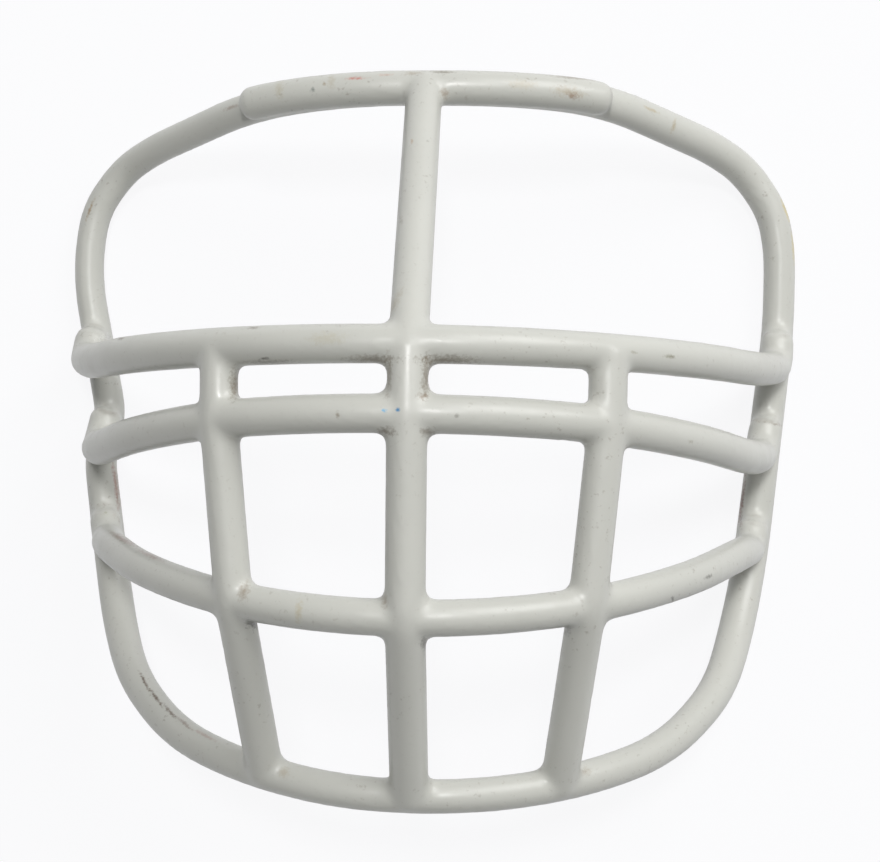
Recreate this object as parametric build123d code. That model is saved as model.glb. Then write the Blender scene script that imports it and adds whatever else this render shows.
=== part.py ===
"""Wire guard for the front of a football helmet, lying on its back as it is stored.

Bent steel wires are welded to one another and dipped in a thick vinyl coating. The guard rests on the straight
side rails of its perimeter, with its front up. +Z points out of the front, +Y to the top bar and +X to the right
of someone who looks at the front. The origin is under the middle of the guard, on the surface that it rests on.
Lengths are in millimetres and angles in degrees.
"""
from build123d import *
import math
import os

# Rod
wire_diameter = 6.35
coat_thickness = 1.6
end_round = 1.5
wire_radius = wire_diameter / 2
coated_radius = wire_radius + coat_thickness

# Perimeter
guard_width = 220.55
guard_height = 202.65
arch_rise = 47.2
loop_rise = 79.2
perimeter_half_width = guard_width / 2 - coated_radius
perimeter_half_height = guard_height / 2 - coated_radius
rail_height = coated_radius
arch_skew = 1.1
# Each corner: shares of the half width, of the half height and of the rise of the arch or of the bottom loop,
# and for the arch, which was bent a little higher on the right, its share of that skew
arch_shares = (
    (0.19, 1.0, 1.0, 0.2),
    (0.47, 0.983, 0.78, 1.0),
    (0.794, 0.883, 0.2, 0.8),
    (0.899, 0.824, 0.035, 0.5),
    (0.979, 0.701, 0.0, 0.2),
    (1.0, 0.579, 0.0, 0.0),
)
right_loop_shares = (
    (0.884, 0.592, 0.115),
    (0.82, 0.765, 0.33),
    (0.663, 0.91, 0.60),
    (0.427, 0.972, 0.85),
    (0.152, 1.0, 1.0),
)
# The loop was bent a little further in on the left
left_loop_shares = (
    (0.882, 0.592, 0.115),
    (0.807, 0.757, 0.33),
    (0.650, 0.892, 0.60),
    (0.423, 0.957, 0.85),
    (0.152, 0.997, 1.0),
)
# The two rails lie flat; the left one is joggled between its two upper laps
right_rail_shares = ((1.0, 0.352), (0.928, -0.388))
left_rail_shares = ((1.0, 0.445), (0.929, 0.036), (0.963, -0.088), (0.928, -0.388))
# How much of the shorter run beside a corner its bend takes up
bend_share = 0.48

# Top bar, lapped on the front of the arch and a little below it, and its reach to either side of its middle
top_bar_left_reach, top_bar_right_reach = 53.65, 51.95
top_bar_drop = 0.75
lap_gap = 0.15
lap_step = wire_diameter + lap_gap
lap_lean = 8.0

# Cross bars: how far out and forward each bows, and its height on the guard's face along the way
cross_bar_turn = 20.0
cross_bar_turns = 4
upper_half_span, upper_front = 100.0, 115.0
lower_half_span, lower_front = 98.0, 117.0
third_half_span, third_front = 95.0, 113.0
upper_middle, lower_middle, third_middle = 22.2, 4.8, -46.7
# Of a bar's two ends: the height that the bow tends to and how late it does, the height of the corner on the rail
# and how far out of the rail's line it stands, the corner's bend, where the cut end stops, and how much higher that
# is on the right and lower on the left
upper_end = {
    "height": 18.6, "delay": 2.0, "corner": 20.8, "out": 1.2, "bend": 7.2, "stop": 29.3, "skew": 0.9,
}
lower_end = {
    "height": -8.3, "delay": 2.75, "corner": -5.4, "out": -0.2, "bend": 9.0, "stop": 4.05, "skew": 0.0,
}
third_end = {
    "height": -31.4, "delay": 2.3, "corner": -33.7, "out": -0.3, "bend": 7.0, "stop": -26.2, "skew": 0.0,
}

# Side bars: how far out each stop is, from the upper cross bar to the bottom loop
crossing_step = 0.4
top_overrun = 0.7
left_stops = (49.4, 49.1, 44.8, 39.45)
right_stops = (50.15, 49.9, 45.6, 39.45)
upright_bend = 15.0

# Welds
butt_weld_width = 2.4
butt_weld_upset = 0.5
bead_radius = 2.3
side_bead_length = 7.0
top_bead_length = 12.0
top_bead_shares = (0.08, 0.36, 0.64, 0.92)

# A notch's block reaches this many coated radii from the crossing
notch_reach_share = 2.4
# A solid smaller than this is a crumb left by a cut
crumb_volume = 0.01
# Between which shares of a bar's length a place on it is looked for, and in how many halvings
search_shares = (0.1, 0.9)
search_steps = 40


def bend_turn(before, corner, after):
    """Angle that a path turns through at a corner."""
    return (corner - before).get_angle(after - corner)


def bend_radii(points, closed=False):
    """Largest bend at each corner that leaves room for the bends beside it."""
    count = len(points)
    corners = range(count) if closed else range(1, count - 1)
    radii = []
    for i in corners:
        before, corner, after = points[i - 1], points[i], points[(i + 1) % count]
        run = min((corner - before).length, (after - corner).length)
        half_turn = math.radians(bend_turn(before, corner, after)) / 2
        radii.append(bend_share * run / math.tan(half_turn))
    return radii


def rod_path(points, radii):
    """Straight runs joined by arcs that are tangent to them, one arc at each point between the first and the last."""
    bends = []
    for before, corner, after, radius in zip(points[:-2], points[1:-1], points[2:], radii):
        half_turn = math.radians(bend_turn(before, corner, after)) / 2
        back = (before - corner).normalized()
        ahead = (after - corner).normalized()
        reach = radius * math.tan(half_turn)
        inset = radius / math.cos(half_turn) - radius
        middle = corner + (back + ahead).normalized() * inset
        bends.append((corner + back * reach, middle, corner + ahead * reach))
    edges = []
    place = points[0]
    for start, middle, end in bends:
        edges.append(Edge.make_line(place, start))
        edges.append(Edge.make_three_point_arc(start, middle, end))
        place = end
    edges.append(Edge.make_line(place, points[-1]))
    return Wire(edges)


def rod(path, radius):
    """Round rod along a path."""
    return sweep(Plane(origin=path @ 0, z_dir=path % 0) * Circle(radius), path=path).solid()


def place_at_x(path, x):
    """Point and direction of a cross bar, which runs from left to right, where it reaches x."""
    low, high = search_shares
    for _ in range(search_steps):
        middle = (low + high) / 2
        if (path @ middle).X < x:
            low = middle
        else:
            high = middle
    return path @ low, path % low


# Perimeter
def arch_corners(side):
    """Corners of one half of the arch, from the top to the rail."""
    return [
        Vector(
            side * perimeter_half_width * x,
            perimeter_half_height * y + side * arch_skew * skew,
            rail_height + arch_rise * z,
        )
        for x, y, z, skew in arch_shares
    ]


def rail_corners(side):
    """Corners of one rail, from the arch down."""
    shares = right_rail_shares if side > 0 else left_rail_shares
    return [Vector(side * perimeter_half_width * x, perimeter_half_height * y, rail_height) for x, y in shares]


def loop_corners(side):
    """Corners of one half of the bottom loop, from the rail to the middle."""
    shares = right_loop_shares if side > 0 else left_loop_shares
    return [
        Vector(side * perimeter_half_width * x, -perimeter_half_height * y, rail_height + loop_rise * z)
        for x, y, z in shares
    ]


# Once round from the right rail, in a lower and an upper run that meet on the bare stretch of each rail
lower_corners = rail_corners(1) + loop_corners(1) + list(reversed(rail_corners(-1) + loop_corners(-1)))
upper_corners = list(reversed(arch_corners(-1))) + arch_corners(1)
perimeter_radii = bend_radii(lower_corners + upper_corners, closed=True)
left_meeting = (lower_corners[-1] + upper_corners[0]) / 2
right_meeting = (upper_corners[-1] + lower_corners[0]) / 2
lower_radii = perimeter_radii[:len(lower_corners)]
upper_radii = perimeter_radii[len(lower_corners):]
lower_run = rod_path([right_meeting] + lower_corners + [left_meeting], lower_radii)
upper_run = rod_path([left_meeting] + upper_corners + [right_meeting], upper_radii)


def over_rail(line, side, y):
    """Point over a rail's line at a height on the guard's face, one lap in front of it and a little inside."""
    for above, below in zip(line[:-1], line[1:]):
        if y >= below.Y:
            break
    along = (above.Y - y) / (above.Y - below.Y)
    lean = math.radians(lap_lean)
    x = above.X + (below.X - above.X) * along
    return Vector(side * (x - lap_step * math.sin(lean)), y, rail_height + lap_step * math.cos(lean))


def bar_corner(side, end):
    """Corner of a cross bar at one rail, by the straight rail's line."""
    line = arch_corners(1)[-1:] + rail_corners(1)
    return over_rail(line, side, end["corner"]) + Vector(side * end["out"], 0, 0)


def bar_stop(side, end, extra=0):
    """Cut end of a cross bar on the rail that it is lapped on."""
    line = [Vector(side * p.X, p.Y, p.Z) for p in arch_corners(side)[-1:] + rail_corners(side)]
    return over_rail(line, side, end["stop"] + side * end["skew"] + extra)


def top_bar_points():
    """Corners of the arch moved out from the helmet by one lap, seen from above as a parallel line."""
    arch = [corner - Vector(0, top_bar_drop, 0) for corner in reversed(arch_corners(-1))]
    arch += [corner - Vector(0, top_bar_drop, 0) for corner in arch_corners(1)]
    normals = []
    for start, end in zip(arch[:-1], arch[1:]):
        run = Vector(end.X - start.X, 0, end.Z - start.Z).normalized()
        normals.append(Vector(-run.Z, 0, run.X))
    corners = []
    for i in range(1, len(arch) - 1):
        bisector = (normals[i - 1] + normals[i]).normalized()
        corners.append(arch[i] + bisector * (lap_step / bisector.dot(normals[i])))
    return corners


full_top_points = top_bar_points()
full_top_path = rod_path(full_top_points, bend_radii(full_top_points))


def trimmed_top_path(extra=0):
    """The part of that path that the top bar takes up, longer at either end by an extra length."""
    start = full_top_path.length / 2 - top_bar_left_reach - extra
    end = full_top_path.length / 2 + top_bar_right_reach + extra
    return full_top_path.trim(start / full_top_path.length, end / full_top_path.length)


top_bar_path = trimmed_top_path()
top_bar_coat_path = trimmed_top_path(extra=coat_thickness)


def cross_bar_points(half_span, front, middle, end, tip_extra):
    """Corners of a cross bar: a lapped end, a bow round half an ellipse, and the other lapped end."""
    depth = front - rail_height
    outside = 1 / math.cos(math.radians(cross_bar_turn / 2))
    halves = []
    for side in (-1, 1):
        half = []
        for k in range(cross_bar_turns):
            turn = math.radians(cross_bar_turn * (k + 0.5))
            half.append(Vector(
                side * half_span * outside * math.sin(turn),
                middle + (end["height"] - middle) * math.sin(turn) ** end["delay"],
                rail_height + depth * outside * math.cos(turn),
            ))
        half += [bar_corner(side, end), bar_stop(side, end, tip_extra)]
        halves.append(half)
    return list(reversed(halves[0])) + halves[1]


def cross_bar_path(half_span, front, middle, end, tip_extra=0):
    """Path of a cross bar, with a tight bend at each lapped end."""
    points = cross_bar_points(half_span, front, middle, end, tip_extra)
    radii = bend_radii(points)
    radii[0] = end["bend"]
    radii[-1] = end["bend"]
    return rod_path(points, radii)


upper_sizes = (upper_half_span, upper_front, upper_middle, upper_end)
lower_sizes = (lower_half_span, lower_front, lower_middle, lower_end)
third_sizes = (third_half_span, third_front, third_middle, third_end)

# The path of each bar on the perimeter, and the longer path of its coating, past the wire's cut ends
paths = {
    "top_bar": top_bar_path,
    "upper_cross_bar": cross_bar_path(*upper_sizes),
    "lower_cross_bar": cross_bar_path(*lower_sizes),
    "third_cross_bar": cross_bar_path(*third_sizes),
}
coat_paths = {
    "top_bar": top_bar_coat_path,
    "upper_cross_bar": cross_bar_path(*upper_sizes, tip_extra=coat_thickness),
    "lower_cross_bar": cross_bar_path(*lower_sizes, tip_extra=coat_thickness),
    "third_cross_bar": cross_bar_path(*third_sizes, tip_extra=coat_thickness),
}

# The bottom loop, run from left to right, for the feet of the uprights
loop_points = loop_corners(-1) + list(reversed(loop_corners(1)))
loop_path = rod_path(loop_points, bend_radii(loop_points))


def face_normal(bar_direction, upright_direction):
    """Direction out of the guard's front where an upright meets another bar."""
    normal = bar_direction.cross(upright_direction).normalized()
    return normal if normal.Z > 0 else -normal


def upright(stops):
    """Path of a bar that meets others at the stops, each a path and an x, and its joint frames there."""
    meets = [place_at_x(path, x) for path, x in stops]
    spots = [spot for spot, _ in meets]
    frames = []
    for i, (spot, bar_direction) in enumerate(meets):
        ahead = spots[min(i + 1, len(spots) - 1)] - spots[max(i - 1, 0)]
        frames.append((spot, bar_direction, face_normal(bar_direction, ahead)))
    corners = [spot + normal * crossing_step for spot, _, normal in frames]
    for i in range(1, len(corners) - 1):
        half_turn = math.radians(bend_turn(spots[i - 1], spots[i], spots[i + 1])) / 2
        outward = (spots[i] * 2 - spots[i - 1] - spots[i + 1]).normalized()
        corners[i] += outward * (upright_bend / math.cos(half_turn) - upright_bend)
    return rod_path(corners, [upright_bend] * (len(corners) - 2)), frames


def centre_upright_path():
    """Straight path of the upper centre bar, from the upper cross bar to just past the top bar."""
    foot, _ = place_at_x(paths["upper_cross_bar"], 0)
    head, head_direction = place_at_x(full_top_path, 0)
    run = (head - foot).normalized()
    step = face_normal(head_direction, run) * crossing_step
    return Wire([Edge.make_line(foot + step, head + step + run * top_overrun)])


paths["upper_centre_bar"] = centre_upright_path()
stop_paths = (paths["upper_cross_bar"], paths["lower_cross_bar"], paths["third_cross_bar"], loop_path)
uprights = {
    "lower_centre_bar": [(path, 0) for path in stop_paths],
    "left_side_bar": [(path, -x) for path, x in zip(stop_paths, left_stops)],
    "right_side_bar": list(zip(stop_paths, right_stops)),
}
joint_frames = {}
for name, stops in uprights.items():
    paths[name], joint_frames[name] = upright(stops)
for name in ("upper_centre_bar", "lower_centre_bar", "left_side_bar", "right_side_bar"):
    coat_paths[name] = paths[name]

# Full rods, before they are let into one another
wires = {"perimeter": (rod(lower_run, wire_radius) + rod(upper_run, wire_radius)).solid()}
rods = {"perimeter": (rod(lower_run, coated_radius) + rod(upper_run, coated_radius)).solid()}
for name in paths:
    wires[name] = rod(paths[name], wire_radius)
    rods[name] = rod(coat_paths[name], coated_radius)
for name in ("top_bar", "upper_cross_bar", "lower_cross_bar", "third_cross_bar"):
    for end in (0, 1):
        end_face = rods[name].faces().sort_by_distance(coat_paths[name] @ end)[0]
        rods[name] = rods[name].fillet(end_round, end_face.edges()).solid()


def notch_block(frame, front):
    """Block that holds the front or the back half of a crossing."""
    spot, bar_direction, normal = frame
    reach = notch_reach_share * coated_radius
    plane = Plane(origin=spot + normal * (crossing_step / 2), x_dir=bar_direction, z_dir=normal)
    rise = Align.MIN if front else Align.MAX
    return plane * Box(2 * reach, 2 * reach, reach, align=(Align.CENTER, Align.CENTER, rise))


crossed_bars = {1: "lower_cross_bar", 2: "third_cross_bar"}
half_laps = {
    (bar, name): frames[i]
    for name, frames in joint_frames.items()
    for i, bar in crossed_bars.items()
}


def near(one, other):
    """Whether the boxes round two solids meet."""
    a, b = one.bounding_box(), other.bounding_box()
    return all(a_low < b_high and b_low < a_high for a_low, a_high, b_low, b_high in (
        (a.min.X, a.max.X, b.min.X, b.max.X),
        (a.min.Y, a.max.Y, b.min.Y, b.max.Y),
        (a.min.Z, a.max.Z, b.min.Z, b.max.Z),
    ))


def cut(solids, tools):
    """Solids left when one tool after another is taken away, without crumbs."""
    left = solids
    for tool in tools:
        pieces = [piece - tool if near(piece, tool) else piece for piece in left]
        left = [solid for piece in pieces for solid in piece.solids() if solid.volume > crumb_volume]
    return left


def let_in(solids):
    """Tools that trim each rod: an earlier rod stays whole, and crossings are halved between their two rods."""
    names = list(solids)
    tools = {name: [] for name in names}
    for i, name in enumerate(names):
        for earlier in names[:i]:
            frame = half_laps.get((earlier, name))
            if frame is None:
                tools[name].append(solids[earlier])
            else:
                tools[name].append(solids[earlier] & notch_block(frame, front=False))
                tools[earlier].append(solids[name] & notch_block(frame, front=True))
    return tools


wire_tools = let_in(wires)
rod_tools = let_in(rods)

# Welds: the butt joint of the perimeter behind the top bar, and beads between lapped wires
butt_slab = Pos(0, perimeter_half_height, rail_height + arch_rise) * Box(
    butt_weld_width, 2 * coated_radius, 2 * coated_radius)
butt_weld = (rod(upper_run, wire_radius + butt_weld_upset) & butt_slab).solid()


def bead(centre, direction, length):
    """Weld bead along the line where two lapped wires touch."""
    return Plane(origin=centre, z_dir=direction) * Cylinder(bead_radius, length)


def side_beads(side):
    """One bead at each lapped cross bar end of one side."""
    beads = []
    lean = math.radians(lap_lean)
    step = Vector(-side * math.sin(lean), 0, math.cos(lean)) * (lap_step / 2)
    for end in (upper_end, lower_end, third_end):
        stop = bar_stop(side, end)
        along = (stop - bar_corner(side, end)).normalized()
        beads.append(bead(stop - along * (side_bead_length / 2) - step, along, side_bead_length))
    return beads


def top_beads():
    """Beads between the top bar and the arch behind it."""
    beads = []
    for share in top_bead_shares:
        spot, along = top_bar_path @ share, top_bar_path % share
        inward = Vector(along.Z, 0, -along.X).normalized()
        beads.append(bead(spot + inward * (lap_step / 2), along, top_bead_length))
    return beads


all_wires = list(wires.values())
beads = {
    "top_bar_welds": top_beads(),
    "left_lap_welds": side_beads(-1),
    "right_lap_welds": side_beads(1),
}
welds = {"perimeter_butt_weld": cut([butt_weld], [wires["top_bar"]])}
for node, solids in beads.items():
    welds[node] = cut(solids, all_wires)
steel = all_wires + [butt_weld] + [solid for solids in beads.values() for solid in solids]

# Nodes
os.makedirs("parts", exist_ok=True)


def write(node, solids):
    """One file for one node, which may be a group of like solids."""
    shape = solids[0] if len(solids) == 1 else Compound(children=solids)
    shape.label = node
    export_step(shape, f"parts/{node}.step")
    print(node, len(solids), "solids", round(sum(solid.volume for solid in solids), 2), "mm3")


wire_tools["perimeter"].append(butt_slab)
for name, wire in wires.items():
    write(f"{name}_wire", cut([wire], wire_tools[name]))
for name, full_rod in rods.items():
    write(f"{name}_coating", cut([full_rod], rod_tools[name] + steel))
for node, solids in welds.items():
    write(node, solids)
print("perimeter wire length", round(lower_run.length + upper_run.length, 1), "mm")
for name, path in paths.items():
    print(name, "wire length", round(path.length, 1), "mm")
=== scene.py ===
"""Looks of a wire guard for the front of a football helmet, lying on its back on white paper.

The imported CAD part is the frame. Its sleeves of coating are replaced by one dipped skin, which is worked out from
the wires, the welds and the sleeves themselves, and the steel inside keeps its own pieces. Lengths are in metres
unless a name says millimetres.
"""
import math

import bpy
import numpy as np
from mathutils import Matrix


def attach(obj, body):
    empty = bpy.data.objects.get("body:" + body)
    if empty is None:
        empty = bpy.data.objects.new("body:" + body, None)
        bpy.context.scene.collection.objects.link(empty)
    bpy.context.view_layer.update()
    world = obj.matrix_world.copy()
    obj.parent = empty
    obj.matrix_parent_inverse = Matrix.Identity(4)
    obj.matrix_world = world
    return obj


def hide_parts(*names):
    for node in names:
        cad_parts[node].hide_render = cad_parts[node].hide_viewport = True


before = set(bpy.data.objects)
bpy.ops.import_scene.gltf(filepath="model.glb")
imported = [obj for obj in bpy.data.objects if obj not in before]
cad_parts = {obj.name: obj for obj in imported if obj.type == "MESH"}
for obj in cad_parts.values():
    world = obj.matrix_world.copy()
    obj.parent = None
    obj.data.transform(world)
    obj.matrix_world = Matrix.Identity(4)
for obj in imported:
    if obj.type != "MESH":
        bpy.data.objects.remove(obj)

import openvdb
from bpy.props import FloatProperty, FloatVectorProperty, PointerProperty
from mathutils import Matrix, Vector
from mathutils.bvhtree import BVHTree

bl_info = {
    "name": "Football facemask looks",
    "version": (1, 0, 0),
    "blender": (4, 5, 0),
    "location": "3D view > Sidebar > Facemask",
    "description": "Dips a wire guard in vinyl, finishes its steel and lays it on paper",
    "category": "Object",
}

MM = 0.001
BARS = (
    "perimeter", "top_bar", "upper_cross_bar", "lower_cross_bar", "third_cross_bar",
    "upper_centre_bar", "lower_centre_bar", "left_side_bar", "right_side_bar",
)
WELDS = ("perimeter_butt_weld", "top_bar_welds", "left_lap_welds", "right_lap_welds")
COATINGS = [bar + "_coating" for bar in BARS]
WIRES = [bar + "_wire" for bar in BARS]

# How much thicker or thinner the dip left a bar's coating on the left and on the right, in millimetres
SWELL = {
    "top_bar_coating": (0.05, 0.05),
    "upper_cross_bar_coating": (0.38, 0.10),
    "lower_cross_bar_coating": (0.24, 0.22),
    "third_cross_bar_coating": (0.0, -0.05),
    "upper_centre_bar_coating": (0.30, 0.30),
    "lower_centre_bar_coating": (0.42, 0.42),
    "left_side_bar_coating": (0.22, 0.22),
    "right_side_bar_coating": (0.26, 0.26),
}
# Over this distance to either side of the middle the left amount gives way to the right one
SWELL_REACH = 50.0
# The same round the perimeter, by the angle from +X in degrees: the dip ran down to the lower halves of the rails
RIM_SWELL = (
    (-172, 0.10), (-150, 0.33), (-135, -0.05), (-90, -0.20), (-52, 0.0), (-33, 0.45), (-10, 0.35), (20, 0.0),
    (35, 0.05), (50, 0.22), (75, 0.0), (110, -0.10), (135, -0.25), (155, -0.28),
)

# Marks of wear and one painted highlight: the bar, how far along it and across it, half sizes in millimetres along
# and across the bar, colour and strength. Along goes from left to right or from the bottom up, as a share of the bar,
# and round the perimeter in degrees from +X. Across goes from -1, the lower, left or inner edge, to 1.
MARKS = (
    # Top bar and arch
    ("top_bar", 0.32, 0.60, (3.2, 0.45), "#B8452F", 0.60),
    ("top_bar", 0.40, 0.75, (2.2, 0.4), "#C08A78", 0.35),
    ("top_bar", 0.12, 0.45, (1.4, 2.8), "#A59A78", 0.35),
    ("top_bar", 0.26, 0.50, (1.2, 2.6), "#A3977A", 0.30),
    ("top_bar", 0.21, 0.10, (0.7, 0.7), "#6E7670", 0.70),
    ("top_bar", 0.24, 0.35, (0.6, 0.6), "#8D7A5C", 0.60),
    ("top_bar", 0.48, 0.80, (3.0, 0.7), "#8E7C64", 0.40),
    ("top_bar", 0.55, 0.90, (3.2, 0.5), "#5F513C", 0.60),
    ("top_bar", 0.56, -0.60, (1.4, 1.4), "#83684A", 0.45),
    ("top_bar", 0.76, 0.20, (4.0, 1.5), "#B3A588", 0.35),
    ("top_bar", 0.88, -0.15, (4.4, 1.6), "#A3916F", 0.40),
    ("top_bar", 0.89, -0.30, (1.8, 0.9), "#7F5A40", 0.50),
    ("top_bar", 0.89, 0.95, (6.0, 0.5), "#6F5F4A", 0.50),
    ("perimeter", 55, 0.40, (2.4, 0.5), "#A8966A", 0.55),
    ("perimeter", 51, 0.00, (0.6, 2.2), "#A08E62", 0.50),
    ("perimeter", 32, 0.95, (4.2, 0.6), "#C4AE50", 0.60),
    ("perimeter", 27, 0.95, (5.0, 0.6), "#C4AE50", 0.50),
    ("perimeter", 148, 0.50, (3.4, 0.5), "#86652F", 0.60),
    ("perimeter", 122, 0.20, (3.0, 0.6), "#7E5B48", 0.40),
    # Upper centre bar
    ("upper_centre_bar", 0.73, -0.40, (0.7, 0.4), "#A5835F", 0.50),
    ("upper_centre_bar", 0.73, 0.40, (0.4, 0.4), "#7F7C72", 0.50),
    ("upper_centre_bar", 0.43, -0.75, (1.2, 0.6), "#86806E", 0.35),
    ("upper_centre_bar", 0.15, -0.80, (4.5, 1.2), "#A1967E", 0.35),
    # Upper cross bar
    ("upper_cross_bar", 0.455, -0.92, (6.5, 1.3), "#64543E", 0.55),
    ("upper_cross_bar", 0.546, -0.92, (8.0, 1.3), "#64543E", 0.60),
    ("upper_cross_bar", 0.33, -0.95, (7.0, 0.6), "#5D5244", 0.50),
    ("upper_cross_bar", 0.325, -0.75, (1.4, 0.4), "#55504A", 0.80),
    ("upper_cross_bar", 0.122, 0.95, (1.4, 0.5), "#67574A", 0.70),
    ("upper_cross_bar", 0.31, 0.95, (1.6, 0.4), "#67574A", 0.60),
    ("upper_cross_bar", 0.765, 0.10, (0.9, 0.4), "#807B60", 0.50),
    ("upper_cross_bar", 0.81, -0.10, (1.7, 0.5), "#77735A", 0.70),
    ("upper_cross_bar", 0.40, 0.30, (5.0, 1.6), "#ADA485", 0.30),
    # Lower cross bar
    ("lower_cross_bar", 0.469, 0.25, (0.7, 0.5), "#59A6CE", 0.90),
    ("lower_cross_bar", 0.480, 0.28, (0.7, 0.5), "#2F7CAE", 0.90),
    ("lower_cross_bar", 0.408, 0.00, (0.5, 1.1), "#8C8272", 0.70),
    ("lower_cross_bar", 0.56, -0.15, (0.7, 0.5), "#77736A", 0.60),
    ("lower_cross_bar", 0.466, -1.0, (2.6, 1.3), "#62533F", 0.60),
    ("lower_cross_bar", 0.525, -1.0, (2.2, 1.2), "#62533F", 0.50),
    ("lower_cross_bar", 0.515, 0.95, (1.6, 0.9), "#7A6145", 0.50),
    ("lower_cross_bar", 0.845, -0.10, (0.9, 0.5), "#8C8776", 0.60),
    # Lower centre bar and side bars
    ("lower_centre_bar", 0.93, 1.0, (5.5, 1.2), "#6B5A42", 0.60),
    ("lower_centre_bar", 0.93, -1.0, (5.5, 1.1), "#6B5A42", 0.45),
    ("lower_centre_bar", 0.38, 1.0, (1.8, 1.0), "#57534A", 0.60),
    ("lower_centre_bar", 0.465, -1.0, (1.8, 0.9), "#7F6A50", 0.45),
    ("left_side_bar", 0.915, 1.0, (4.0, 1.3), "#6A5A44", 0.70),
    ("left_side_bar", 0.39, 0.95, (2.0, 1.7), "#38342A", 0.80),
    ("left_side_bar", 0.465, 0.95, (2.4, 1.4), "#7F6A50", 0.55),
    ("right_side_bar", 0.40, -0.90, (1.8, 1.0), "#4A443B", 0.50),
    # Third cross bar
    ("third_cross_bar", 0.09, 0.90, (9.0, 0.45), "#7E5848", 0.60),
    ("third_cross_bar", 0.15, 0.95, (6.0, 0.45), "#7A5040", 0.50),
    ("third_cross_bar", 0.365, 0.00, (1.0, 3.0), "#B0A27A", 0.40),
    ("third_cross_bar", 0.89, -0.20, (1.5, 0.5), "#65645D", 0.70),
    ("third_cross_bar", 0.84, -0.80, (0.4, 1.2), "#44413B", 0.70),
    # Laps and rails
    ("perimeter", 181.0, 0.00, (0.6, 5.0), "#6A5440", 0.80),
    ("perimeter", 2.2, 0.00, (0.5, 5.0), "#6A5440", 0.80),
    ("perimeter", -0.5, -0.85, (3.6, 0.4), "#7B4E3E", 0.60),
    ("perimeter", 190.8, -1.1, (8.0, 0.5), "#8A5848", 0.65),
    ("perimeter", -12.5, -1.1, (8.0, 0.5), "#6F3F34", 0.75),
    ("perimeter", 195.5, -0.50, (0.7, 1.2), "#7C7C3C", 0.80),
    # Painted highlight: the pale streak on the inner side of the upper left lap
    ("perimeter", 164.5, -0.60, (2.2, 2.6), "#E8E8E4", 0.75),
    # Bottom loop
    ("perimeter", -138.0, -0.72, (3.4, 0.4), "#5A4332", 0.80),
    ("perimeter", -135.0, -0.76, (3.6, 0.4), "#5A4332", 0.80),
    ("perimeter", -132.0, -0.80, (3.6, 0.4), "#5A4332", 0.70),
    ("perimeter", -129.0, -0.85, (3.6, 0.4), "#6E5444", 0.55),
    ("perimeter", -125.0, -0.92, (4.5, 0.35), "#99766A", 0.45),
    ("perimeter", -111.0, -0.60, (1.6, 1.3), "#9A835E", 0.30),
    ("perimeter", -62.0, -0.60, (1.6, 1.2), "#8B775C", 0.28),
)
# A mark is placed on the highest point within this share of its bar, or this angle, to either side of it, and within
# this many millimetres across the bar. It is turned to the bar's direction over the second pair of values.
MARK_STRETCH, MARK_ANGLE, MARK_STRIP = 0.006, 0.7, 0.5
TURN_STRETCH, TURN_ANGLE = 0.02, 2.0
# Least half depth of a mark and the steps that a triangle's edge is cut into
MARK_DEPTH = 5.0
EDGE_STEPS = 40

# Sizes of the patterns in the vinyl, from its slow pools to its grain, and of the paper's tooth
POOL, PATCH, WAVE, SPECK, RUB, GRAIN = 45 * MM, 6 * MM, 3 * MM, 1.6 * MM, 0.9 * MM, 0.4 * MM
TOOTH = 0.8 * MM
# Share of the blown-out white in what the camera and the glosses see of the paper
WHITE_SHARE = 0.91

# Stage, in metres: half side of the paper, each lamp's place and side, and the point that they face
PAPER_HALF = 2.0
KEY_PLACE, KEY_SIDE = (0.1, 0.85, 2.9), 0.4
WINDOW_PLACE, WINDOW_SIDE = (0.74, 0.88, 0.97), 0.9
LAMP_AIM = (0, 0, 0.05)
ROOM_COLOUR, ROOM_STRENGTH = (0.98, 0.99, 1.0, 1), 0.23
# Camera: its eye and aim in millimetres, the direction that is up in the picture, and its sensor's width
EYE, AIM = (29.97, 0.77, 599.4), (3.0, 0.39, 0.0)
PICTURE_UP = (-0.0139, 0.9999, 0.0)
SENSOR_WIDTH = 36.0


# Colour and node helpers

def linear(hex_colour):
    """Linear red, green and blue of an sRGB hex colour."""
    channels = [int(hex_colour[i:i + 2], 16) / 255 for i in (1, 3, 5)]
    return tuple(c / 12.92 if c <= 0.04045 else ((c + 0.055) / 1.055) ** 2.4 for c in channels)


def add(tree, kind, links=(), inputs=(), **settings):
    """A node with its settings, socket values as (socket, value) and links as (socket, source socket)."""
    node = tree.nodes.new(kind)
    for name, value in settings.items():
        setattr(node, name, value)
    for socket, value in inputs:
        node.inputs[socket].default_value = value
    for socket, source in links:
        tree.links.new(source, node.inputs[socket])
    return node


def noise(tree, place, size, detail, roughness=0.5):
    """Noise with features of a given size, in metres."""
    node = add(tree, "ShaderNodeTexNoise", links=[("Vector", place)],
               inputs=[("Scale", 1 / size), ("Detail", detail), ("Roughness", roughness)])
    return node.outputs["Fac"]


def spread(tree, value, low, high, to_low=0.0, to_high=1.0):
    """A value carried from one range to another and kept inside it."""
    node = add(tree, "ShaderNodeMapRange", links=[("Value", value)],
               inputs=[("From Min", low), ("From Max", high), ("To Min", to_low), ("To Max", to_high)])
    return node.outputs["Result"]


def math_node(tree, operation, first, second):
    """Two values put together."""
    return add(tree, "ShaderNodeMath", operation=operation, links=[(0, first), (1, second)]).outputs[0]


def blend(tree, share, under, over):
    """Colour between two others; under may be a socket or a value, over is a value."""
    node = add(tree, "ShaderNodeMix", data_type="RGBA", links=[("Factor", share)])
    if isinstance(under, bpy.types.NodeSocket):
        tree.links.new(under, node.inputs[6])
    else:
        node.inputs[6].default_value = (*under, 1)
    node.inputs[7].default_value = (*over, 1)
    return node.outputs[2]


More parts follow.
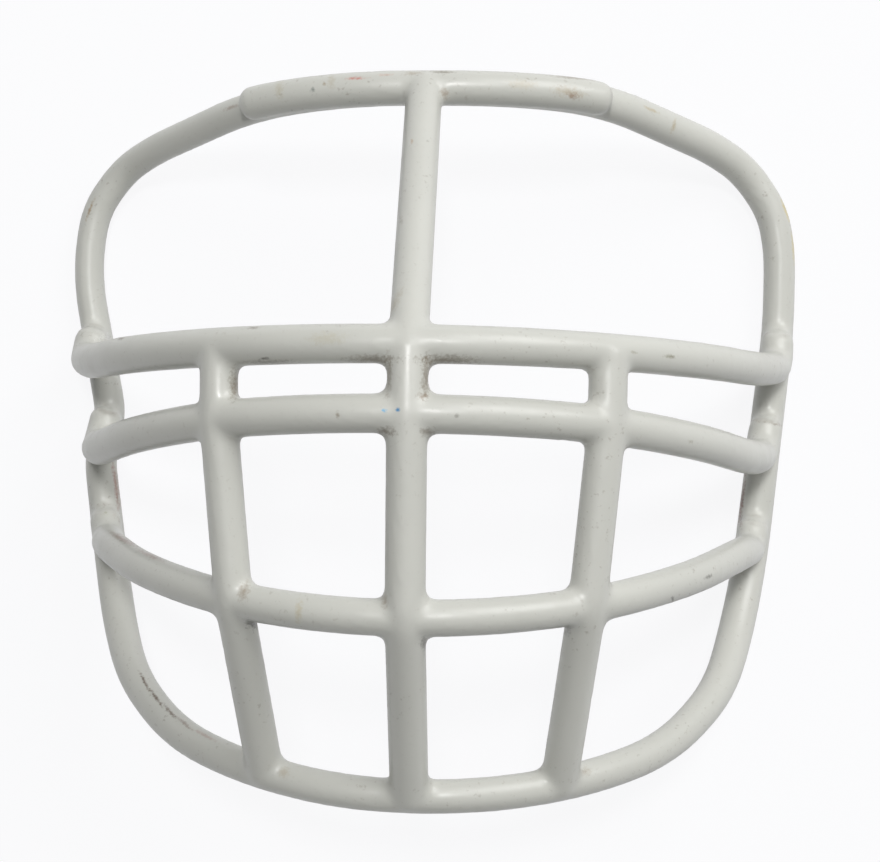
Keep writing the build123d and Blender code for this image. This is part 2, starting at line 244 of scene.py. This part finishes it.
def bump(tree, height, strength, distance, normal=None):
    """A bump of a given height, in metres, on top of another one."""
    links = [("Height", height)] + ([("Normal", normal)] if normal else [])
    return add(tree, "ShaderNodeBump", links=links, inputs=[("Strength", strength), ("Distance", distance)]).outputs[0]


def new_material(name):
    """An empty material, its node tree, the place its shader goes to and the object's own coordinates."""
    material = bpy.data.materials.new(name)
    material.use_nodes = True
    tree = material.node_tree
    tree.nodes.clear()
    output = tree.nodes.new("ShaderNodeOutputMaterial")
    return material, tree, output.inputs[0], add(tree, "ShaderNodeTexCoord").outputs["Object"]


# Settings

class FACEMASK_PG_coating(bpy.types.PropertyGroup):
    """Sizes and colours of the dipped coating."""
    fillet: FloatProperty(
        name="Corner fillet", description="Radius of the coating in the corners between bars",
        default=2.3 * MM, unit="LENGTH")
    dome: FloatProperty(
        name="End dome", description="Radius that the coating's free ends and edges are drawn round to",
        default=3.6 * MM, unit="LENGTH")
    fine_grain: FloatProperty(
        name="Working grain", description="Voxel of the distance fields in which the skin is worked out",
        default=0.55 * MM, unit="LENGTH")
    skin_grain: FloatProperty(
        name="Skin grain", description="Voxel of the finished skin",
        default=0.98 * MM, unit="LENGTH")
    colour: FloatVectorProperty(
        name="Vinyl", description="Colour of the clean coating",
        default=linear("#C8C8C1"), subtype="COLOR", size=3)
    thin_colour: FloatVectorProperty(
        name="Thin vinyl", description="Colour where the coating ran a little thinner",
        default=linear("#BDBDB6"), subtype="COLOR", size=3)
    # Also the colour of the painted shade in the corners between bars
    grime_and_shade: FloatVectorProperty(
        name="Grime", description="Colour of the dirt that lies in corners and scratches",
        default=linear("#6B5C48"), subtype="COLOR", size=3)


class FACEMASK_PG_steel(bpy.types.PropertyGroup):
    """Colours of the steel under the coating."""
    wire: FloatVectorProperty(
        name="Wire", description="Colour of the drawn steel wire",
        default=linear("#A9A9AA"), subtype="COLOR", size=3)
    weld: FloatVectorProperty(
        name="Weld", description="Colour of the weld metal",
        default=linear("#8C8985"), subtype="COLOR", size=3)


class FACEMASK_PG_stage(bpy.types.PropertyGroup):
    """Paper, lamps and camera."""
    paper: FloatVectorProperty(
        name="Paper", description="Colour of the paper under the guard",
        default=linear("#E2E3E6"), subtype="COLOR", size=3)
    glare: FloatVectorProperty(
        name="Paper, seen", description="Colour that the overexposed paper has in the picture",
        default=linear("#FEFEFF"), subtype="COLOR", size=3)
    key_power: FloatProperty(
        name="Key lamp", description="Power of the far lamp above the top bar",
        default=40.0, unit="POWER")
    window_power: FloatProperty(
        name="Window", description="Power of the broad soft light from the upper right",
        default=13.5, unit="POWER")
    lens: FloatProperty(
        name="Lens", description="Focal length of the camera on a sensor 36 mm wide",
        default=79.7, unit="CAMERA")


# Skin

def swell(name, points):
    """How far each point of a node, in millimetres, is pushed out."""
    if name == "perimeter_coating":
        angles, amounts = zip(*RIM_SWELL)
        return np.interp(np.degrees(np.arctan2(points[:, 1], points[:, 0])), angles, amounts, period=360)
    return np.interp(points[:, 0], (-SWELL_REACH, SWELL_REACH), SWELL.get(name, (0.0, 0.0)))


def cad_arrays(names):
    """Points in millimetres and triangles of CAD nodes, each node's points pushed out by its swell."""
    points, triangles, count = [], [], 0
    for name in names:
        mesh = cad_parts[name].data
        matrix = np.array(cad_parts[name].matrix_world)
        spots = np.empty(len(mesh.vertices) * 3)
        mesh.vertices.foreach_get("co", spots)
        spots = spots.reshape(-1, 3) @ matrix[:3, :3].T + matrix[:3, 3]
        normals = np.empty(len(mesh.vertices) * 3)
        mesh.vertex_normals.foreach_get("vector", normals)
        normals = normals.reshape(-1, 3) @ matrix[:3, :3].T
        mesh.calc_loop_triangles()
        corners = np.empty(len(mesh.loop_triangles) * 3, dtype=np.int32)
        mesh.loop_triangles.foreach_get("vertices", corners)
        spots = spots / MM
        points.append(spots + normals * swell(name, spots)[:, None])
        triangles.append(corners.reshape(-1, 3) + count)
        count += len(spots)
    return np.concatenate(points), np.concatenate(triangles)


def distance_field(points, triangles, quads, voxel, reach):
    """Signed distance to a closed surface, out to a reach and three voxels more on both sides, in millimetres."""
    return openvdb.FloatGrid.createLevelSetFromPolygons(
        np.ascontiguousarray(points, dtype=np.float32),
        triangles=np.ascontiguousarray(triangles, dtype=np.uint32),
        quads=np.ascontiguousarray(quads, dtype=np.uint32),
        transform=openvdb.createLinearTransform(voxelSize=voxel),
        halfWidth=reach / voxel + 3)


def moved_surface(points, triangles, quads, offset, voxel):
    """A closed surface moved outwards by an offset, or inwards by a negative one."""
    field = distance_field(points, triangles, quads, voxel, abs(offset))
    return field.convertToPolygons(isovalue=offset, adaptivity=0.0)


def dipped_skin(settings):
    """Points and faces of the skin: a ball rolled in every corner outside, then round every edge."""
    voxel = settings.fine_grain / MM
    fillet = settings.fillet / MM
    dome = settings.dome / MM
    points, triangles = cad_arrays(COATINGS + WIRES + list(WELDS))
    surface = (points, triangles, np.empty((0, 4)))
    surface = moved_surface(*surface, fillet, voxel)
    surface = moved_surface(*surface, -(fillet + dome), voxel)
    surface = moved_surface(*surface, dome, settings.skin_grain / MM)
    return surface


def make_skin(settings):
    """Object of the dipped skin, with how far each point lies from the bars' own surface."""
    points, triangles, quads = dipped_skin(settings)
    faces = [tuple(int(i) for i in reversed(face)) for face in list(quads) + list(triangles)]
    mesh = bpy.data.meshes.new("dipped_coating")
    mesh.from_pydata([tuple(p) for p in points.astype(float) * MM], [], faces)
    mesh.validate()
    mesh.shade_smooth()
    skin = bpy.data.objects.new("dipped_coating", mesh)
    bpy.context.scene.collection.objects.link(skin)

    cad_points, cad_triangles = cad_arrays(COATINGS)
    tree = BVHTree.FromPolygons(cad_points.tolist(), cad_triangles.tolist())
    # How deep each point lies in a fillet; the vinyl darkens its corners by this with grime and painted shade
    depth = np.zeros(len(mesh.vertices), dtype=np.float32)
    for i, vertex in enumerate(mesh.vertices):
        depth[i] = tree.find_nearest(vertex.co / MM)[3]
    attribute = mesh.attributes.new("corner_depth", "FLOAT", "POINT")
    attribute.data.foreach_set("value", depth)
    return skin


# Materials

def bar_points(name):
    """Points all over a coating's own surface, in millimetres: its triangles' edges cut into short steps."""
    spots, corners = cad_arrays([name])
    steps = np.linspace(0, 1, EDGE_STEPS)[:, None, None, None]
    return (spots[corners] * (1 - steps) + spots[np.roll(corners, 1, axis=1)] * steps).reshape(-1, 3)


def along_and_across(name, points):
    """How far along its bar and how far across it each point lies, seen from above."""
    if name == "perimeter":
        return np.degrees(np.arctan2(points[:, 1], points[:, 0])), np.hypot(points[:, 0], points[:, 1])
    run, width = (points[:, 1], points[:, 0]) if name.endswith(("centre_bar", "side_bar")) else points[:, :2].T
    return (run - run.min()) / (run.max() - run.min()), width


def spot_on(points, place, width, along, across, round_rim):
    """The place on a bar's upper side that lies a share along it, or at an angle, and a share across it."""
    if round_rim:
        near = abs((place - along + 180) % 360 - 180) < MARK_ANGLE
    else:
        near = abs(place - along) < MARK_STRETCH
    near_points, width = points[near], width[near]
    wanted = (width.max() + width.min()) / 2 + across * (width.max() - width.min()) / 2
    miss = abs(width - wanted)
    strip = near_points[miss < miss.min() + MARK_STRIP]
    return strip[strip[:, 2].argmax()]


def placed_marks():
    """Middle and turn of each mark on its bar, with the half sizes, the colour and the strength it is given."""
    surfaces = {}
    for bar in BARS:
        points = bar_points(bar + "_coating")
        surfaces[bar] = (points, *along_and_across(bar, points))
    for bar, along, across, half_sizes, stain, strength in MARKS:
        round_rim = bar == "perimeter"
        step = TURN_ANGLE if round_rim else TURN_STRETCH
        middle, after, before = [
            spot_on(*surfaces[bar], place, across, round_rim) for place in (along, along + step, along - step)]
        ahead = after - before
        yield middle, math.atan2(ahead[1], ahead[0]), half_sizes, stain, strength


def add_marks(tree, place, ragged, colour):
    """Lays every mark over a colour; each is a spot broken up at its soft edge."""
    for middle, turn, half_sizes, stain, strength in placed_marks():
        extent = (*half_sizes, MARK_DEPTH + half_sizes[0])
        local = add(tree, "ShaderNodeMapping", vector_type="TEXTURE", links=[("Vector", place)],
                    inputs=[("Location", middle * MM), ("Rotation", (0, 0, turn)), ("Scale", [c * MM for c in extent])])
        far = add(tree, "ShaderNodeVectorMath", operation="LENGTH", links=[(0, local.outputs[0])])
        edge = math_node(tree, "ADD", far.outputs["Value"], ragged)
        colour = blend(tree, spread(tree, edge, 0.75, 1.8, strength, 0.0), colour, linear(stain))
    return colour


def vinyl_material(settings):
    """Plastisol vinyl, dipped and cured: satin, a little soft and wavy, with grime and painted shade in its corners."""
    material, tree, output, place = new_material("plastisol vinyl, dipped and cured")

    # The dip runs and pools over centimetres, which shows as slow changes of the grey
    pools = noise(tree, place, POOL, 2.0)
    colour = blend(tree, pools, settings.colour, settings.thin_colour)

    # Grime and painted shade darken the corners between bars, in patches of a few millimetres
    depth = add(tree, "ShaderNodeAttribute", attribute_name="corner_depth", attribute_type="GEOMETRY")
    patches = noise(tree, place, PATCH, 4.0, 0.6)
    corner = spread(tree, depth.outputs["Fac"], 0.3, 1.1, 0.0, 0.5)
    dirt_and_shade = math_node(tree, "MULTIPLY", corner, spread(tree, patches, 0.42, 0.68))
    colour = blend(tree, dirt_and_shade, colour, settings.grime_and_shade)

    # Specks of dirt and nicks a millimetre or two apart, thick in some places and rare in others
    flecks = spread(tree, noise(tree, place, SPECK, 2.0, 0.7), 0.62, 0.74)
    speckled = math_node(tree, "MULTIPLY", flecks, spread(tree, pools, 0.4, 0.65, 0.06, 0.38))
    colour = blend(tree, speckled, colour, settings.grime_and_shade)

    # Wear rubs off and catches by the millimetre; the marks laid here are wear and stains, and one painted highlight
    ragged = spread(tree, noise(tree, place, RUB, 2.0, 0.7), 0.3, 0.7, 0.1, 1.1)
    colour = add_marks(tree, place, ragged, colour)

    # Skin of the cured vinyl: soft waves and a fine grain
    waves = bump(tree, noise(tree, place, WAVE, 1.0), 0.25, 0.12 * MM)
    normal = bump(tree, noise(tree, place, GRAIN, 1.0), 0.15, 0.04 * MM, waves)
    gloss = spread(tree, patches, 0.3, 0.7, 0.30, 0.42)
    shader = add(tree, "ShaderNodeBsdfPrincipled",
                 links=[("Base Color", colour), ("Roughness", gloss), ("Normal", normal)], inputs=[("IOR", 1.53)])
    tree.links.new(shader.outputs[0], output)
    return material


def steel_material(name, colour, roughness, grit):
    """Low-carbon steel with marks of a given size, in metres."""
    material, tree, output, place = new_material(name)
    marks = noise(tree, place, grit, 3.0)
    tone = blend(tree, marks, colour, [c * 0.75 for c in colour])
    shader = add(tree, "ShaderNodeBsdfPrincipled",
                 links=[("Base Color", tone), ("Normal", bump(tree, marks, 0.3, grit / 10))],
                 inputs=[("Metallic", 1.0), ("Roughness", roughness)])
    tree.links.new(shader.outputs[0], output)
    return material


def paper_material(settings):
    """White paper: matt, with a tooth too fine to see."""
    material, tree, output, place = new_material("white backdrop paper")
    tone = blend(tree, noise(tree, place, TOOTH, 2.0), settings.paper, [c * 0.985 for c in settings.paper])
    shader = add(tree, "ShaderNodeBsdfPrincipled", links=[("Base Color", tone)],
                 inputs=[("Roughness", 0.9), ("Specular IOR Level", 0.2)])
    # Seen straight or in a gloss, the paper is nearly blown out to white, with only a trace of the shadow on it
    white = add(tree, "ShaderNodeEmission", inputs=[("Color", (*settings.glare, 1)), ("Strength", 1.0)])
    path = add(tree, "ShaderNodeLightPath")
    seen = path.outputs["Is Camera Ray"]
    for ray in ("Is Glossy Ray", "Is Transmission Ray"):
        seen = math_node(tree, "MAXIMUM", seen, path.outputs[ray])
    share = add(tree, "ShaderNodeMath", operation="MULTIPLY", links=[(0, seen)], inputs=[(1, WHITE_SHARE)])
    both = add(tree, "ShaderNodeMixShader",
               links=[(0, share.outputs[0]), (1, shader.outputs[0]), (2, white.outputs[0])])
    tree.links.new(both.outputs[0], output)
    return material


# Operators

class FACEMASK_OT_dip_coating(bpy.types.Operator):
    """Dips the welded guard: one continuous skin takes the place of the CAD's sleeves"""
    bl_idname = "facemask.dip_coating"
    bl_label = "Dip coating"

    def execute(self, context):
        settings = context.scene.facemask_coating
        skin = make_skin(settings)
        if len(skin.data.polygons) == 0:
            raise RuntimeError("the skin came out empty")
        skin.data.materials.append(vinyl_material(settings))
        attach(skin, "root")
        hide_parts(*COATINGS)
        return {"FINISHED"}


class FACEMASK_OT_finish_steel(bpy.types.Operator):
    """Gives the wires and the welds inside the coating their steel"""
    bl_idname = "facemask.finish_steel"
    bl_label = "Finish steel"

    def execute(self, context):
        settings = context.scene.facemask_steel
        wire = steel_material("low-carbon steel, cold drawn", settings.wire, roughness=0.32, grit=0.6 * MM)
        weld = steel_material("low-carbon steel, resistance welded", settings.weld, roughness=0.5, grit=1.2 * MM)
        for names, material in ((WIRES, wire), (WELDS, weld)):
            for name in names:
                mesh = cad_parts[name].data
                mesh.materials.clear()
                mesh.materials.append(material)
        return {"FINISHED"}


def area_lamp(name, place, side, power):
    """A square lamp that faces the guard."""
    lamp = bpy.data.lights.new(name, "AREA")
    lamp.size = side
    lamp.energy = power
    holder = bpy.data.objects.new(name, lamp)
    holder.location = place
    holder.rotation_euler = (Vector(LAMP_AIM) - Vector(place)).to_track_quat("-Z", "Y").to_euler()
    bpy.context.scene.collection.objects.link(holder)


class FACEMASK_OT_lay_on_paper(bpy.types.Operator):
    """Lays the guard on white paper under soft lamps and sets the camera above it"""
    bl_idname = "facemask.lay_on_paper"
    bl_label = "Lay on paper"

    def execute(self, context):
        scene = context.scene
        settings = scene.facemask_stage
        paper = bpy.data.meshes.new("paper")
        corners = [(x * PAPER_HALF, y * PAPER_HALF, 0) for x, y in ((-1, -1), (1, -1), (1, 1), (-1, 1))]
        paper.from_pydata(corners, [], [(0, 1, 2, 3)])
        floor = bpy.data.objects.new("paper", paper)
        paper.materials.append(paper_material(settings))
        scene.collection.objects.link(floor)

        area_lamp("key_lamp", KEY_PLACE, KEY_SIDE, settings.key_power)
        area_lamp("window", WINDOW_PLACE, WINDOW_SIDE, settings.window_power)

        world = bpy.data.worlds.new("soft room")
        world.use_nodes = True
        background = world.node_tree.nodes["Background"]
        background.inputs["Color"].default_value = ROOM_COLOUR
        background.inputs["Strength"].default_value = ROOM_STRENGTH
        scene.world = world
        scene.view_settings.view_transform = "Standard"

        camera = bpy.data.cameras.new("camera")
        camera.sensor_width = SENSOR_WIDTH
        camera.lens = settings.lens
        camera.clip_start = 0.01
        camera.clip_end = 20
        holder = bpy.data.objects.new("camera", camera)
        eye = Vector(EYE) * MM
        back = (eye - Vector(AIM) * MM).normalized()
        right = Vector(PICTURE_UP).cross(back).normalized()
        up = back.cross(right)
        turn = Matrix((right, up, back)).transposed().to_4x4()
        holder.matrix_world = Matrix.Translation(eye) @ turn
        scene.collection.objects.link(holder)
        scene.camera = holder
        return {"FINISHED"}


class FACEMASK_PT_panel(bpy.types.Panel):
    """Sizes, colours and steps of the facemask's looks"""
    bl_idname = "FACEMASK_PT_panel"
    bl_label = "Facemask"
    bl_space_type = "VIEW_3D"
    bl_region_type = "UI"
    bl_category = "Facemask"

    def draw(self, context):
        for holder, settings in (
            ("facemask.dip_coating", context.scene.facemask_coating),
            ("facemask.finish_steel", context.scene.facemask_steel),
            ("facemask.lay_on_paper", context.scene.facemask_stage),
        ):
            box = self.layout.box()
            for name in settings.bl_rna.properties.keys():
                if name not in ("rna_type", "name"):
                    box.prop(settings, name)
            box.operator(holder)


CLASSES = (
    FACEMASK_PG_coating, FACEMASK_PG_steel, FACEMASK_PG_stage,
    FACEMASK_OT_dip_coating, FACEMASK_OT_finish_steel, FACEMASK_OT_lay_on_paper, FACEMASK_PT_panel,
)


def register():
    """Registers the classes and hangs their settings on the scene."""
    for cls in CLASSES:
        bpy.utils.register_class(cls)
    bpy.types.Scene.facemask_coating = PointerProperty(type=FACEMASK_PG_coating)
    bpy.types.Scene.facemask_steel = PointerProperty(type=FACEMASK_PG_steel)
    bpy.types.Scene.facemask_stage = PointerProperty(type=FACEMASK_PG_stage)


def unregister():
    """Takes them away again."""
    del bpy.types.Scene.facemask_stage
    del bpy.types.Scene.facemask_steel
    del bpy.types.Scene.facemask_coating
    for cls in reversed(CLASSES):
        bpy.utils.unregister_class(cls)


def main():
    """Builds the looks in order."""
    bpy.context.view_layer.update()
    register()
    bpy.ops.facemask.dip_coating()
    bpy.ops.facemask.finish_steel()
    bpy.ops.facemask.lay_on_paper()


if __name__ == "__main__":
    main()
